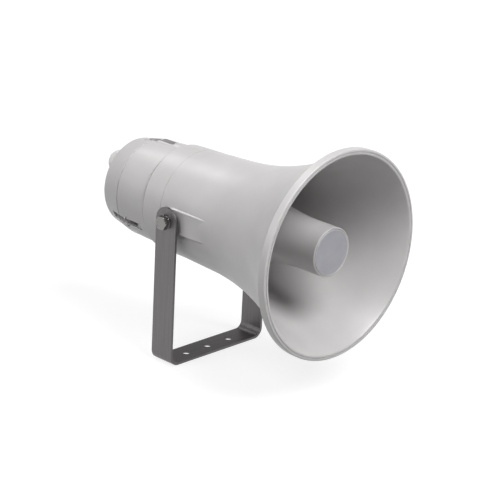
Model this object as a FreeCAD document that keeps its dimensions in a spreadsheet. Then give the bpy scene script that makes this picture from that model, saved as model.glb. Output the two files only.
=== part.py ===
import FreeCAD, Part
import math
import os
import re
import Sketcher

# Pa horn speaker: a re-entrant horn with its driver, line transformer and connection chamber, on a tilting bracket.
# Row frame: origin at the middle base hole, on the underside of the bracket. +Z is up and the mouth faces -Y.
# The horn's own pieces are drawn in the pivot frame: local +Y is forward, towards the mouth, local +X is the
# object's -X side, and lengths along the horn are counted forward of the pivot axis. All sizes are millimetres.

SIZES = {
    # bracket: one bent strip
    "strap_width": 28.0,
    "strap_thick": 2.5,
    "strap_rise": 0.8,
    "bracket_span": 130.0,
    "pivot_height": 150.0,
    "bend_inner": 8.0,
    "base_hole": 8.5,
    "base_pitch": 30.0,
    # pivot hardware
    "bolt_dia": 8.0,
    "bolt_length": 20.0,
    "bolt_flats": 13.0,
    "bolt_head": 5.3,
    "bolt_edge": 0.2,
    "pivot_play": 0.1,
    "side_gap": 0.1,
    "spring_washer_dia": 14.8,
    "spring_washer_thick": 2.0,
    "spring_washer_slit": 1.2,
    "friction_washer_dia": 20.0,
    "friction_washer_thick": 4.2,
    "insert_dia": 12.0,
    "insert_length": 12.0,
    "insert_boss": 18.0,
    "boss_skin": 1.0,
    "boss_root": 4.0,
    # bell
    "bell_rear": 45.1,
    "bell_chamfer": 0.8,
    "barrel_swell": 0.7,
    "barrel_turn": 6.0,
    "mould_line": 19.2,
    "mould_line_width": 0.7,
    "mould_line_depth": 0.25,
    "flare_start": 35.0,
    "neck_rise": 2.7,
    "flare_bend": 274.0,
    "rim_front": 172.8,
    "rim_width": 8.7,
    "rim_radius": 104.0,
    "rim_round": 1.0,
    "rim_step": 5.4,
    "rim_groove_inset": 2.9,
    "rim_groove_depth": 0.8,
    "bell_wall": 3.3,
    "inner_bend": 290.0,
    "pad_width": 24.5,
    "pad_rise": 3.0,
    "pad_front": 75.0,
    "rear_ring": 7.7,
    "bulkhead_rear": 24.0,
    "bulkhead_thick": 5.0,
    "bulkhead_swell": 1.9,
    "bulkhead_step": 4.2,
    # reflector in the mouth
    "reflector_inset": 14.5,
    "reflector_radius": 24.7,
    "reflector_wall": 2.5,
    "reflector_straight": 24.3,
    "reflector_draft": 0.1,
    "reflector_bend": 238.0,
    "reflector_rear": 53.0,
    "nose_length": 2.2,
    "nose_radius": 23.1,
    "nose_step": 0.5,
    "disc_radius": 21.8,
    "disc_thick": 0.8,
    "disc_play": 0.1,
    "end_wall": 2.6,
    "post_radius": 4.0,
    "post_inset": 0.508,
    "skirt_room": 0.7,
    "post_front": 60.0,
    "post_count": 3,
    # throat horn
    "plate_inset": 1.0,
    "throat_plate": 4.0,
    "throat_inset": 18.3,
    "throat_bore_rear": 9.0,
    "throat_bore_front": 13.0,
    "throat_wall": 2.0,
    "throat_collar": 13.0,
    "throat_root_length": 10.0,
    "screw_boss_radius": 4.5,
    "screw_boss_length": 9.0,
    "tap_end": 1.5,
    "gasket_thick": 1.0,
    # compression driver
    "driver_play": 1.4,
    "adapter_thick": 14.0,
    "dome_rise": 4.5,
    "surround_width": 2.0,
    "film": 0.6,
    "plug_inset": 3.1,
    "plug_tip": 3.0,
    "plug_gap": 2.0,
    "plug_fin": 1.6,
    "fin_play": 0.05,
    "clamp_ring": 1.0,
    "top_plate": 5.0,
    "gap_width": 2.0,
    "coil_wall": 0.6,
    "coil_length": 7.0,
    "magnet_play": 0.7,
    "magnet_inset": 2.4,
    "magnet_thick": 17.0,
    "back_plate": 6.0,
    "plate_edge": 1.0,
    "driver_screw_inset": 3.6,
    "driver_screw_count": 4,
    "driver_screw_length": 35.0,
    # rear housing
    "housing_length": 43.3,
    "housing_step": 2.6,
    "housing_taper": 1.7,
    "housing_wall": 5.6,
    "seam_chamfer": 0.5,
    "web_depth": 8.9,
    "web_thick": 3.0,
    "web_hole": 6.0,
    "spigot_length": 5.0,
    "spigot_wall": 2.0,
    "spigot_root": 3.0,
    "spigot_play": 0.3,
    "lug_radius": 8.8,
    "lug_inset": 2.3,
    "lug_end": 1.4,
    "lug_ramp": 9.0,
    "lug_tip": 4.5,
    "channel_width": 8.8,
    "channel_start": 11.9,
    "channel_end": 8.4,
    "head_room": 0.3,
    "shelf_inset": 1.1,
    "station_count": 3,
    "housing_screw_length": 18.0,
    "seal_inset": 0.6,
    "seal_width": 1.6,
    "seal_thick": 1.2,
    "seal_play": 0.1,
    # rear cap and its seal
    "cap_length": 25.0,
    "cap_step": 0.2,
    "cap_taper": 4.5,
    "cap_round": 2.2,
    "cap_wall": 3.0,
    "notch_length": 12.6,
    "notch_inset": 2.0,
    "cap_seal_inset": 0.6,
    "cap_seal_width": 1.5,
    "cap_seal_thick": 1.0,
    "cap_screw_boss": 5.0,
    "cap_screw_length": 28.0,
    "cap_screw_seat": 1.0,
    # screws that share sizes
    "screw_dia": 4.0,
    "screw_head_dia": 7.0,
    "screw_head": 2.6,
    "screw_play": 0.2,
    "screw_socket": 2.5,
    "housing_screw_dia": 5.0,
    "housing_screw_head_dia": 8.4,
    "housing_screw_head": 3.5,
    "small_screw_dia": 3.0,
    "small_screw_head_dia": 5.6,
    "small_screw_head": 2.0,
    # cable gland in the rear cap
    "gland_thread": 20.0,
    "gland_flats": 24.0,
    "gland_flange": 5.5,
    "gland_stub": 9.0,
    "gland_neck": 17.0,
    "gland_neck_length": 10.0,
    "gland_bore": 13.0,
    "gland_nut_edge": 0.6,
    "gland_nut_hex": 9.0,
    "gland_nut_dome": 12.8,
    "gland_nut_tip": 8.2,
    "gland_nut_bend": 16.0,
    "gland_nut_gap": 0.3,
    "gland_nut_bore": 11.0,
    "gland_seal_bore": 9.0,
    "gland_seal_length": 7.0,
    "locknut_thick": 4.5,
    # line transformer
    "core_stack": 15.0,
    "core_stand": 8.5,
    "coil_overhang": 7.0,
    "coil_play": 0.2,
    "clip_thick": 1.5,
    "clip_height": 18.0,
    "clip_foot": 9.0,
    "clip_play": 0.05,
    # terminal block
    "block_length": 32.0,
    "block_base": 16.0,
    "block_top": 10.0,
    "block_step": 6.0,
    "block_height": 14.0,
    "block_side": -6.0,
    "block_drop": 15.0,
    "block_pitch": 9.0,
    "block_bore": 4.0,
    "block_screw": 3.6,
    "block_seat": 1.0,
}

# Sizes that follow from those above, so that the pieces keep together when one of them changes.
FOLLOWING = {
    # the horn fills the bracket between its washers
    "pad_face": "bracket_span/2 - strap_thick - side_gap - friction_washer_thick",
    "barrel_radius": "pad_face - pad_rise",
    "flare_neck": "barrel_radius + neck_rise",
    "inner_barrel": "barrel_radius + barrel_swell + bulkhead_swell - bell_wall",
    # rim, mouth and reflector
    "rim_rear": "rim_front - rim_width",
    "lip_radius": "rim_radius - rim_step",
    "rim_groove": "rim_radius - rim_groove_inset",
    "reflector_front": "rim_front - reflector_inset",
    "reflector_turn": "reflector_front - reflector_straight",
    # throat and driver, which stays inside the threaded inserts
    "throat_front": "reflector_front - throat_inset",
    "throat_plate_radius": "inner_barrel - plate_inset",
    "driver_radius": "pad_face - insert_length - boss_skin - driver_play",
    "driver_screw_circle": "driver_radius - driver_screw_inset",
    "bulkhead_opening": "driver_screw_circle - bulkhead_step",
    "post_circle": "bulkhead_opening - screw_head_dia/2 - post_inset",
    "reflector_skirt": "post_circle + post_radius + reflector_wall + skirt_room",
    "throat_root": "5*bulkhead_opening/9",
    "magnet_radius": "driver_screw_circle - screw_head_dia/2 - magnet_play",
    "rim_ring": "0.685*driver_radius",
    "surround_radius": "0.594*driver_radius",
    "dome_radius": "0.402*driver_radius",
    "plug_radius": "dome_radius - plug_inset",
    "gap_inner": "dome_radius - gap_width/2",
    "gap_outer": "dome_radius + gap_width/2",
    "magnet_bore": "gap_outer + magnet_inset",
    # rear housing, in steps inwards from the barrel
    "housing_rear": "bell_rear + housing_length",
    "housing_front_radius": "barrel_radius - housing_step",
    "housing_rear_radius": "housing_front_radius - housing_taper",
    "housing_bore": "housing_front_radius - housing_wall",
    "rear_opening": "0.806*barrel_radius",
    "rear_recess": "0.77*barrel_radius",
    "seal_outer": "housing_front_radius - seal_inset",
    "seal_inner": "seal_outer - seal_width",
    "housing_screw_circle": "seal_inner - housing_screw_dia/2",
    "lug_centre": "housing_screw_circle - lug_inset",
    "lug_rear": "housing_rear - lug_ramp - lug_end",
    "channel_front": "bell_rear + channel_start",
    "channel_deep_rear": "housing_rear - channel_end",
    "channel_floor": "housing_screw_circle - housing_screw_head_dia/2 - head_room",
    "channel_shelf": "housing_screw_circle - shelf_inset",
    "web_front": "housing_rear - web_depth",
    "web_hole_rise": "0.39*barrel_radius",
    # rear cap
    "cap_rear": "housing_rear + cap_length",
    "cap_front_radius": "housing_rear_radius - cap_step",
    "cap_rear_radius": "cap_front_radius - cap_taper",
    "notch_rear": "housing_rear + notch_length",
    "notch_floor": "channel_shelf - notch_inset",
    "cap_seal_inner": "rear_recess + cap_seal_inset",
    "cap_seal_outer": "cap_seal_inner + cap_seal_width",
    "cap_screw_circle": "0.661*barrel_radius",
    "gland_side": "0.127*barrel_radius",
    "gland_rise": "0.304*barrel_radius",
    # line transformer: the usual lamination is six legs wide and five high
    "core_width": "0.76*barrel_radius",
    "core_leg": "core_width/6",
    "core_height": "5*core_leg",
    "core_rear": "web_front - core_stand",
}

doc = FreeCAD.newDocument("pa_horn_speaker")
sheet = doc.addObject("Spreadsheet::Sheet", "Sizes")
pieces = []


def fill_sheet():
    formulas = {name: f"={formula}" for name, formula in FOLLOWING.items()}
    for row, (name, content) in enumerate({**SIZES, **formulas}.items(), start=1):
        sheet.set(f"A{row}", name)
        sheet.setAlias(f"B{row}", name)
        sheet.set(f"B{row}", str(content))
    doc.recompute()


def bound(text):
    """An expression in size names, written so that other objects can read the sheet."""
    known = {**SIZES, **FOLLOWING}
    return re.sub(r"[a-z]\w*", lambda word: f"Sizes.{word[0]}" if word[0] in known else word[0], text)


def value(text):
    return float(sheet.evalExpression(bound(text)))


def origin_feature(body, role):
    return next(item for item in body.Origin.OriginFeatures if item.Role == role)


def new_body(label, height="0", turn=0, several=False):
    """One sub-part. Pieces of the horn stand at the pivot and are turned to face local +Y forward."""
    body = doc.addObject("PartDesign::Body", label)
    body.Label = label
    body.AllowCompound = several
    body.Placement = FreeCAD.Placement(FreeCAD.Vector(0, 0, 0), FreeCAD.Rotation(FreeCAD.Vector(0, 0, 1), turn))
    body.setExpression("Placement.Base.z", bound(height))
    pieces.append(body)
    return body


def horn_body(label, several=False):
    return new_body(label, height="pivot_height", turn=180, several=several)


def new_sketch(body, role, offset="0"):
    """A sketch on one of the body's planes, moved along that plane's normal by offset."""
    sketch = body.newObject("Sketcher::SketchObject", f"{body.Name}_sketch")
    sketch.AttachmentSupport = (origin_feature(body, role), [""])
    sketch.MapMode = "FlatFace"
    sketch.setExpression("AttachmentOffset.Base.z", bound(offset))
    return sketch


def station(body, forward):
    """A sketch across the horn axis: x is sideways, y is up."""
    return new_sketch(body, "XZ_Plane", f"-({forward})")


def profile(body):
    """A sketch along the horn axis: x is forward of the pivot, y is the distance from the axis."""
    return new_sketch(body, "YZ_Plane")


def bind(sketch, constraints):
    """Adds constraints, given as (constraint, expression or None), and binds their values to the sheet."""
    first = sketch.ConstraintCount
    sketch.addConstraint([item for item, expression in constraints])
    for number, (item, expression) in enumerate(constraints):
        if expression is not None:
            sketch.setExpression(f"Constraints[{first + number}]", bound(expression))


def bend(start, end, radius, left):
    """The arc from start to end, as a counterclockwise arc of circle."""
    chord = end - start
    normal = FreeCAD.Vector(-chord.y, chord.x, 0) / chord.Length
    reach = math.sqrt(max(radius**2 - chord.Length**2 / 4, 0))
    centre = (start + end) / 2 + normal * (reach if left else -reach)
    first, last = (start, end) if left else (end, start)
    angle_first = math.atan2(first.y - centre.y, first.x - centre.x)
    angle_last = math.atan2(last.y - centre.y, last.x - centre.x)
    if angle_last < angle_first:
        angle_last += 2 * math.pi
    circle = Part.Circle(centre, FreeCAD.Vector(0, 0, 1), radius)
    return Part.ArcOfCircle(circle, angle_first, angle_last)


def outline(sketch, corners):
    """A closed outline. A corner is (x, y), or (x, y, "+radius") where the edge that leaves it bends to the left
    of its chord's centre, and (x, y, "-radius") where it bends to the right."""
    points = [FreeCAD.Vector(value(corner[0]), value(corner[1]), 0) for corner in corners]
    first = sketch.GeometryCount
    count = len(corners)
    geometry = []
    ends = []
    for number, corner in enumerate(corners):
        start, end = points[number], points[(number + 1) % count]
        if len(corner) == 3:
            left = corner[2].startswith("+")
            geometry.append(bend(start, end, value(corner[2][1:]), left))
            ends.append((1, 2) if left else (2, 1))
        else:
            geometry.append(Part.LineSegment(start, end))
            ends.append((1, 2))
    sketch.addGeometry(geometry, False)
    constraints = []
    for number, corner in enumerate(corners):
        edge, following = first + number, first + (number + 1) % count
        start = ends[number][0]
        meet = ends[(number + 1) % count][0]
        point = points[number]
        constraints.append((Sketcher.Constraint("Coincident", edge, ends[number][1], following, meet), None))
        constraints.append((Sketcher.Constraint("DistanceX", -1, 1, edge, start, point.x), corner[0]))
        constraints.append((Sketcher.Constraint("DistanceY", -1, 1, edge, start, point.y), corner[1]))
        if len(corner) == 3:
            radius = corner[2][1:]
            constraints.append((Sketcher.Constraint("Radius", edge, value(radius)), radius))
    bind(sketch, constraints)


def circle(sketch, radius, x="0", y="0"):
    centre = FreeCAD.Vector(value(x), value(y), 0)
    edge = sketch.addGeometry(Part.Circle(centre, FreeCAD.Vector(0, 0, 1), value(radius)), False)
    bind(
        sketch,
        [
            (Sketcher.Constraint("DistanceX", -1, 1, edge, 3, centre.x), x),
            (Sketcher.Constraint("DistanceY", -1, 1, edge, 3, centre.y), y),
            (Sketcher.Constraint("Radius", edge, value(radius)), radius),
        ],
    )


def rectangle(sketch, left, low, right, high):
    outline(sketch, [(left, low), (right, low), (right, high), (left, high)])


def hexagon(sketch, flats, x="0", y="0"):
    """A hexagon over its flats, with a corner to each side."""
    corners = []
    for number in range(6):
        reach = f"({flats})/2/cos(30)"
        corners.append((f"{x} + {reach}*cos({60 * number})", f"{y} + {reach}*sin({60 * number})"))
    outline(sketch, corners)


def round_about(circle_radius, angle):
    """The place of a hole or post on a circle about the horn axis."""
    return f"{circle_radius}*cos({angle})", f"{circle_radius}*sin({angle})"


def swept(kind, sketch, body):
    feature = body.newObject(f"PartDesign::{kind}", f"{body.Name}_{kind}")
    feature.Profile = sketch
    return feature


def extrude(body, sketch, length, forward=True, cut=False, both=False):
    """Adds, or cuts, the sketch along its plane's normal. Across the horn, forward is against that normal."""
    feature = swept("Pocket" if cut else "Pad", sketch, body)
    feature.setExpression("Length", bound(length))
    across = sketch.AttachmentSupport[0][0].Role == "XZ_Plane"
    along_normal = forward != across
    feature.Reversed = along_normal if cut else not along_normal
    if both:
        feature.SideType = "Symmetric"
    return feature


def turn(body, sketch, cut=False, axis="H_Axis"):
    """Adds, or cuts, the sketch turned about the horn axis."""
    feature = swept("Groove" if cut else "Revolution", sketch, body)
    feature.ReferenceAxis = (sketch, [axis])
    feature.Angle = 360
    return feature


def around(body, features, count, role="Y_Axis"):
    """Repeats the features about an axis of the body."""
    doc.recompute()
    pattern = body.newObject("PartDesign::PolarPattern", f"{body.Name}_ring")
    pattern.Originals = features
    pattern.Axis = (origin_feature(body, role), [""])
    pattern.Angle = 360
    pattern.setExpression("Occurrences", bound(count))
    body.Tip = pattern
    return pattern


def mirrored(body, features, role):
    """Repeats the features on the other side of one of the body's planes."""
    doc.recompute()
    copy = body.newObject("PartDesign::Mirrored", f"{body.Name}_mirror")
    copy.Originals = features
    copy.MirrorPlane = (origin_feature(body, role), [""])
    body.Tip = copy
    return copy


def make_bracket():
    """The U bracket: one bent strip, its leg tops rounded about the pivot, three fixing holes in its base."""
    body = new_body("u_bracket")
    strip = new_sketch(body, "XZ_Plane")
    half, top = "bracket_span/2", "pivot_height + strap_rise + strap_width/2"
    bend_outer = "(bend_inner + strap_thick)"
    outline(
        strip,
        [
            (f"-{half} + {bend_outer}", "0"),
            (f"{half} - {bend_outer}", "0", f"+{bend_outer}"),
            (half, bend_outer),
            (half, top),
            (f"{half} - strap_thick", top),
            (f"{half} - strap_thick", bend_outer, "-bend_inner"),
            (f"{half} - {bend_outer}", "strap_thick"),
            (f"-{half} + {bend_outer}", "strap_thick", "-bend_inner"),
            (f"-{half} + strap_thick", bend_outer),
            (f"-{half} + strap_thick", top),
            (f"-{half}", top),
            (f"-{half}", bend_outer, f"+{bend_outer}"),
        ],
    )
    extrude(body, strip, "strap_width", both=True)
    corner = new_sketch(body, "YZ_Plane")
    outline(
        corner,
        [
            ("0", top, "-strap_width/2"),
            ("strap_width/2", "pivot_height + strap_rise"),
            ("strap_width/2 + 1", "pivot_height + strap_rise"),
            ("strap_width/2 + 1", f"{top} + 1"),
            ("0", f"{top} + 1"),
        ],
    )
    rounding = extrude(body, corner, "bracket_span + 2", cut=True, both=True)
    mirrored(body, [rounding], "XZ_Plane")
    pivots = new_sketch(body, "YZ_Plane")
    circle(pivots, "bolt_dia/2 + pivot_play", "0", "pivot_height")
    extrude(body, pivots, "bracket_span + 2", cut=True, both=True)
    base = new_sketch(body, "XY_Plane")
    for place in ("-base_pitch", "0", "base_pitch"):
        circle(base, "base_hole/2", place, "0")
    extrude(body, base, "2*strap_thick + 2", cut=True, both=True)


def make_bell():
    """The bell with its rim, barrel, side pads, rear ring and the bulkhead that carries driver and throat."""
    body = horn_body("horn_bell")
    outside = profile(body)
    outline(
        outside,
        [
            ("-bell_rear", "0"),
            ("rim_front", "0"),
            ("rim_front", "rim_groove - rim_groove_depth/2"),
            ("rim_front - rim_groove_depth", "rim_groove"),
            ("rim_front", "rim_groove + rim_groove_depth/2"),
            ("rim_front", "rim_radius - rim_round", "+rim_round"),
            ("rim_front - rim_round", "rim_radius"),
            ("rim_rear + rim_round", "rim_radius", "+rim_round"),
            ("rim_rear", "rim_radius - rim_round"),
            ("rim_rear", "lip_radius", "-flare_bend"),
            ("flare_start", "flare_neck"),
            ("-barrel_turn", "barrel_radius + barrel_swell"),
            ("-bell_rear + bell_chamfer", "barrel_radius"),
            ("-bell_rear", "barrel_radius - bell_chamfer"),
        ],
    )
    turn(body, outside)
    line = profile(body)
    outline(
        line,
        [
            ("-mould_line - mould_line_width/2", "barrel_radius + barrel_swell"),
            ("-mould_line", "barrel_radius + barrel_swell/2 - mould_line_depth"),
            ("-mould_line + mould_line_width/2", "barrel_radius + barrel_swell"),
        ],
    )
    turn(body, line, cut=True)
    pads = profile(body)
    outline(
        pads,
        [
            ("0", "-pad_width/2"),
            ("pad_front", "-pad_width/2"),
            ("pad_front", "pad_width/2"),
            ("0", "pad_width/2", "+pad_width/2"),
            ("-pad_width/2", "0", "+pad_width/2"),
        ],
    )
    extrude(body, pads, "2*pad_face", both=True)
    inside = profile(body)
    outline(
        inside,
        [
            ("-bell_rear - 1", "0"),
            ("rim_front + 1", "0"),
            ("rim_front + 1", "lip_radius"),
            ("rim_front", "lip_radius", "-inner_bend"),
            ("flare_start", "flare_neck - bell_wall"),
            ("bulkhead_rear + bulkhead_thick", "inner_barrel"),
            ("bulkhead_rear + bulkhead_thick", "bulkhead_opening"),
            ("bulkhead_rear", "bulkhead_opening"),
            ("bulkhead_rear", "barrel_radius - bell_wall"),
            ("-bell_rear + rear_ring", "barrel_radius - bell_wall"),
            ("-bell_rear + rear_ring", "rear_opening"),
            ("-bell_rear - 1", "rear_opening"),
        ],
    )
    turn(body, inside, cut=True)
    seal = profile(body)
    rectangle(seal, "-bell_rear - 1", "seal_inner - seal_play", "-bell_rear + seal_thick", "seal_outer + seal_play")
    turn(body, seal, cut=True)
    boss = new_sketch(body, "YZ_Plane", "pad_face - insert_length - boss_skin")
    circle(boss, "insert_boss/2")
    inner_boss = extrude(body, boss, "insert_length + boss_skin - boss_root")
    socket = new_sketch(body, "YZ_Plane", "pad_face")
    circle(socket, "insert_dia/2")
    insert_hole = extrude(body, socket, "insert_length", cut=True, forward=False)
    mirrored(body, [inner_boss, insert_hole], "YZ_Plane")
    threads = station(body, "-bell_rear")
    circle(threads, "housing_screw_dia/2", *round_about("housing_screw_circle", "90"))
    thread = extrude(body, threads, "rear_ring + 1", cut=True)
    around(body, [thread], "station_count")
    passes = station(body, "bulkhead_rear")
    circle(passes, "screw_dia/2 + screw_play", *round_about("driver_screw_circle", "45"))
    passage = extrude(body, passes, "bulkhead_thick + screw_play", cut=True)
    around(body, [passage], "driver_screw_count")


def make_reflector():
    """The closed centre tube that turns the sound back, on three posts that stand on the throat plate."""
    body = horn_body("reflector_tube")
    nose_front = "(reflector_front + nose_length)"
    outside = profile(body)
    outline(
        outside,
        [
            ("reflector_rear", "reflector_skirt - reflector_wall"),
            ("reflector_rear", "0"),
            (nose_front, "0"),
            (nose_front, "nose_radius - nose_step"),
            (f"{nose_front} - nose_step", "nose_radius - nose_step"),
            (f"{nose_front} - nose_step", "nose_radius", "+(nose_length - nose_step + reflector_draft)"),
            ("reflector_front", "reflector_radius"),
            ("reflector_turn", "reflector_radius + reflector_draft", "-reflector_bend"),
            ("reflector_rear", "reflector_skirt"),
        ],
    )
    turn(body, outside)
    inside = profile(body)
    outline(
        inside,
        [
            ("reflector_rear - 1", "0"),
            (f"{nose_front} - disc_thick - end_wall", "0"),
            (f"{nose_front} - disc_thick - end_wall", "reflector_radius - reflector_wall"),
            ("reflector_turn", "reflector_radius + reflector_draft - reflector_wall", "-reflector_bend"),
            ("reflector_rear", "reflector_skirt - reflector_wall"),
            ("reflector_rear - 1", "reflector_skirt - reflector_wall"),
        ],
    )
    turn(body, inside, cut=True)
    seat = station(body, nose_front)
    circle(seat, "disc_radius")
    extrude(body, seat, "disc_thick", cut=True, forward=False)
    plate_front = "(bulkhead_rear + bulkhead_thick + throat_plate)"
    foot = station(body, plate_front)
    circle(foot, "post_radius", *round_about("post_circle", "30"))
    post = extrude(body, foot, f"post_front - {plate_front}")
    tap = station(body, plate_front)
    circle(tap, "screw_dia/2", *round_about("post_circle", "30"))
    bore = extrude(body, tap, "screw_boss_length + 2", cut=True)
    around(body, [post, bore], "post_count")


def make_centre_disc():
    body = horn_body("centre_disc")
    face = station(body, "reflector_front + nose_length")
    circle(face, "disc_radius - disc_play")
    extrude(body, face, "disc_thick", forward=False)


def make_throat_horn():
    """Plate and first horn section in one moulding: it carries the sound forward into the reflector."""
    body = horn_body("throat_horn")
    plate_rear = "(bulkhead_rear + bulkhead_thick)"
    plate_front = f"({plate_rear} + throat_plate)"
    collar_rear = "(bulkhead_rear - gasket_thick)"
    outside = profile(body)
    outline(
        outside,
        [
            (collar_rear, "throat_bore_rear"),
            ("throat_front", "throat_bore_front"),
            ("throat_front", "throat_bore_front + throat_wall"),
            (f"{plate_front} + throat_root_length", "throat_bore_rear + 1.2*throat_wall", "-(throat_root_length*1.1)"),
            (plate_front, "throat_root"),
            (plate_front, "throat_plate_radius"),
            (plate_rear, "throat_plate_radius"),
            (plate_rear, "throat_collar"),
            (collar_rear, "throat_collar"),
        ],
    )
    turn(body, outside)
    bosses = station(body, plate_front)
    circle(bosses, "screw_boss_radius", *round_about("driver_screw_circle", "45"))
    boss = extrude(body, bosses, "screw_boss_length")
    taps = station(body, plate_rear)
    circle(taps, "screw_dia/2", *round_about("driver_screw_circle", "45"))
    tap = extrude(body, taps, "throat_plate + screw_boss_length - tap_end", cut=True)
    around(body, [boss, tap], "driver_screw_count")
    passes = station(body, plate_rear)
    circle(passes, "screw_dia/2 + screw_play", *round_about("post_circle", "30"))
    passage = extrude(body, passes, "throat_plate + 1", cut=True)
    heads = station(body, plate_rear)
    circle(heads, "screw_head_dia/2 + screw_play", *round_about("post_circle", "30"))
    recess = extrude(body, heads, "throat_plate/2", cut=True)
    around(body, [passage, recess], "post_count")


def make_driver():
    """The compression driver, front to rear: gasket, adapter, phase plug, diaphragm, coil and magnet system."""
    adapter_front = "(bulkhead_rear - gasket_thick)"
    adapter_rear = f"({adapter_front} - adapter_thick)"
    dome_front = f"({adapter_rear} + dome_rise + plug_gap)"
    body = horn_body("throat_gasket")
    ring = station(body, adapter_front)
    circle(ring, "driver_radius")
    circle(ring, "bulkhead_opening")
    extrude(body, ring, "gasket_thick")
    clear_driver_screws(body, adapter_front, "gasket_thick")

    body = horn_body("driver_adapter")
    shell = profile(body)
    outline(
        shell,
        [
            (adapter_rear, "surround_radius"),
            (f"{adapter_rear} + plug_gap", "surround_radius"),
            (f"{dome_front}", "plug_radius + plug_gap"),
            (adapter_front, "throat_bore_rear"),
            (adapter_front, "driver_radius"),
            (f"{adapter_rear} - clamp_ring", "driver_radius"),
            (f"{adapter_rear} - clamp_ring", "rim_ring + seal_play"),
            (adapter_rear, "rim_ring + seal_play"),
        ],
    )
    turn(body, shell)
    clear_driver_screws(body, f"{adapter_rear} - clamp_ring", "adapter_thick + clamp_ring")

    body = horn_body("phase_plug")
    cone = profile(body)
    outline(
        cone,
        [
            (dome_front, "0"),
            (f"{adapter_front} + 1", "0"),
            (f"{adapter_front} + 1", "plug_tip/2"),
            (dome_front, "plug_radius"),
        ],
    )
    turn(body, cone)
    fin = new_sketch(body, "YZ_Plane")
    outline(
        fin,
        [
            (dome_front, "0"),
            (adapter_front, "0"),
            (adapter_front, "throat_bore_rear - fin_play"),
            (dome_front, "plug_radius + plug_gap - fin_play"),
        ],
    )
    around(body, [extrude(body, fin, "plug_fin", both=True)], "post_count")

    body = horn_body("diaphragm")
    film = profile(body)
    dome_bend = "((dome_radius^2 + dome_rise^2)/2/dome_rise)"
    outline(
        film,
        [
            (f"{adapter_rear} - clamp_ring", "surround_radius - surround_width"),
            (f"{adapter_rear} - clamp_ring", "rim_ring"),
            (adapter_rear, "rim_ring"),
            (adapter_rear, "surround_radius - surround_width"),
            (f"{adapter_rear} - clamp_ring + film", "surround_radius - surround_width"),
            (f"{adapter_rear} - clamp_ring + film", "dome_radius", f"-{dome_bend}"),
            (f"{adapter_rear} - clamp_ring + film + dome_rise", "0"),
            (f"{adapter_rear} - clamp_ring + dome_rise", "0", f"+{dome_bend}"),
            (f"{adapter_rear} - clamp_ring", "dome_radius"),
        ],
    )
    turn(body, film)

    plate_front = f"({adapter_rear} - clamp_ring)"
    plate_rear = f"({plate_front} - top_plate)"
    body = horn_body("voice_coil")
    winding = profile(body)
    middle = "((gap_inner + gap_outer)/2)"
    rectangle(winding, f"{plate_front} - coil_length", f"{middle} - coil_wall/2", plate_front, f"{middle} + coil_wall/2")
    turn(body, winding)

    body = horn_body("top_plate")
    plate = station(body, plate_rear)
    circle(plate, "driver_radius")
    circle(plate, "gap_outer")
    extrude(body, plate, "top_plate")
    clear_driver_screws(body, plate_rear, "top_plate")

    magnet_rear = f"({plate_rear} - magnet_thick)"
    body = horn_body("ring_magnet")
    magnet = station(body, magnet_rear)
    circle(magnet, "magnet_radius")
    circle(magnet, "magnet_bore")
    extrude(body, magnet, "magnet_thick")

    body = horn_body("back_plate")
    pole = profile(body)
    outline(
        pole,
        [
            (f"{magnet_rear} - back_plate", "0"),
            (plate_front + " - film", "0"),
            (plate_front + " - film", "gap_inner"),
            (magnet_rear, "gap_inner + plate_edge"),
            (magnet_rear, "magnet_radius"),
            (f"{magnet_rear} - back_plate + plate_edge", "magnet_radius"),
            (f"{magnet_rear} - back_plate", "magnet_radius - plate_edge"),
        ],
    )
    turn(body, pole)
    make_screws("driver_screws", "driver_screw_circle", "45", "driver_screw_count", plate_rear, "driver_screw_length")


def clear_driver_screws(body, rear, length):
    """The driver's fixing screws pass through this piece."""
    holes = station(body, rear)
    circle(holes, "screw_dia/2 + screw_play", *round_about("driver_screw_circle", "45"))
    hole = extrude(body, holes, length, cut=True)
    around(body, [hole], "driver_screw_count")


def make_screws(label, on_circle, angle, count, seat, length, dia="screw_dia", head_dia="screw_head_dia",
                head="screw_head", forward=True):
    """A ring of like socket screws about the horn axis, heads behind the seat and shanks pointing forward."""
    body = horn_body(label, several=True)
    place = round_about(on_circle, angle)
    shanks = station(body, seat)
    circle(shanks, f"{dia}/2", *place)
    shank = extrude(body, shanks, length, forward=forward)
    heads = station(body, seat)
    circle(heads, f"{head_dia}/2", *place)
    cap = extrude(body, heads, head, forward=not forward)
    sockets = station(body, f"{seat} {'-' if forward else '+'} {head}")
    hexagon(sockets, "screw_socket", *place)
    socket = extrude(body, sockets, f"{head}*0.6", cut=True, forward=forward)
    around(body, [shank, cap, socket], count)


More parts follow.
